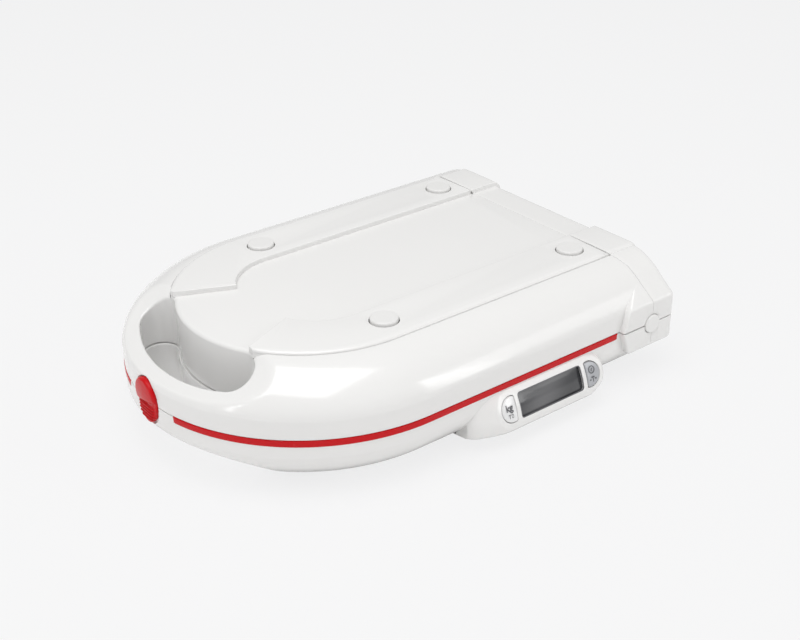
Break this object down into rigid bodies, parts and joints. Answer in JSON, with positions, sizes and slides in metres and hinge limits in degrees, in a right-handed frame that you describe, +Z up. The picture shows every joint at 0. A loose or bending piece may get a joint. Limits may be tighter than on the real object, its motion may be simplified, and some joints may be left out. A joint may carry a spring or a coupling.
{
  "type": "baby weighing scale",
  "caption": "Folding baby scale shown closed as a rounded carrying case with a handle opening, raised feet, a side display pod with keys, a latch and a long red trim line.",
  "frame": {"origin": "centre of the whole scale's bounding box in plan, on the surface that it stands on", "axes": "+X from the carrying handle to the hinge, along the length; -Y is the side with the display; +Z up, out of the raised feet of the upper half"},
  "size_m": [0.3616, 0.2784, 0.0904],
  "materials": {
    "shell_white": "glossy warm white moulded ABS",
    "tray_white": "smooth white tray, wipes clean",
    "foot_white": "satin white pad",
    "trim_red": "glossy red moulded trim",
    "window_dark": "dark smoked glossy display window",
    "lcd_grey": "grey liquid crystal panel",
    "key_white": "glossy white key",
    "key_silver": "silver grey key",
    "frame_grey": "plain inner moulding",
    "cell_jacket": "plain printed battery jacket",
    "board_green": "solder-masked circuit board",
    "steel": "plain steel"
  },
  "bodies": {
    "lower_case": {"lower_shell": "shell_white", "lower_base_plate": "shell_white", "lower_tray": "tray_white", "lower_end_cover": "shell_white", "lower_tray_screws": "steel", "lower_board_screws": "steel", "trim_stripe": "trim_red", "hinge_pins": "steel", "side_caps": "shell_white", "display_housing": "shell_white", "display_window": "window_dark", "lcd_module": "lcd_grey", "display_board": "board_green", "key_switches": "steel", "main_board": "board_green", "battery_box": "frame_grey", "battery_cells": "cell_jacket", "battery_contacts": "steel", "lower_foot_1": "foot_white", "lower_load_cell_1": "steel", "lower_foot_2": "foot_white", "lower_load_cell_2": "steel", "lower_foot_3": "foot_white", "lower_load_cell_3": "steel", "lower_foot_4": "foot_white", "lower_load_cell_4": "steel"},
    "unit_key": {"unit_key": "key_white"},
    "power_key": {"power_key": "key_silver"},
    "battery_door": {"battery_door": "shell_white"},
    "latch": {"latch_button": "trim_red", "latch_spring": "steel"},
    "upper_case": {"upper_shell": "shell_white", "upper_base_plate": "shell_white", "upper_tray": "tray_white", "upper_end_cover": "shell_white", "upper_junction_board": "board_green", "upper_tray_screws": "steel", "upper_board_screws": "steel", "latch_keeper": "steel", "upper_foot_1": "foot_white", "upper_foot_2": "foot_white", "upper_foot_3": "foot_white", "upper_foot_4": "foot_white", "upper_load_cell_1": "steel", "upper_load_cell_2": "steel", "upper_load_cell_3": "steel", "upper_load_cell_4": "steel"}
  },
  "joints": [
    {"name": "case_hinge", "type": "hinge", "parent": "lower_case", "child": "upper_case", "pos_m": [0.17625, 0.00224, 0.0452], "axis": [0, 1, 0], "range_deg": [0, 180]},
    {"name": "latch_slide", "type": "slide", "parent": "lower_case", "child": "latch", "axis": [1, 0, 0], "range_m": [0, 0.0016], "stiffness_N_per_m": 1500},
    {"name": "unit_key_press", "type": "slide", "parent": "lower_case", "child": "unit_key", "axis": [0, 0.9336, -0.3584], "range_m": [0, 0.001], "stiffness_N_per_m": 900},
    {"name": "power_key_press", "type": "slide", "parent": "lower_case", "child": "power_key", "axis": [0, 0.9336, -0.3584], "range_m": [0, 0.001], "stiffness_N_per_m": 900},
    {"name": "battery_door_slide", "type": "slide", "parent": "lower_case", "child": "battery_door", "axis": [1, 0, 0], "range_m": [0, 0.066]}
  ]
}
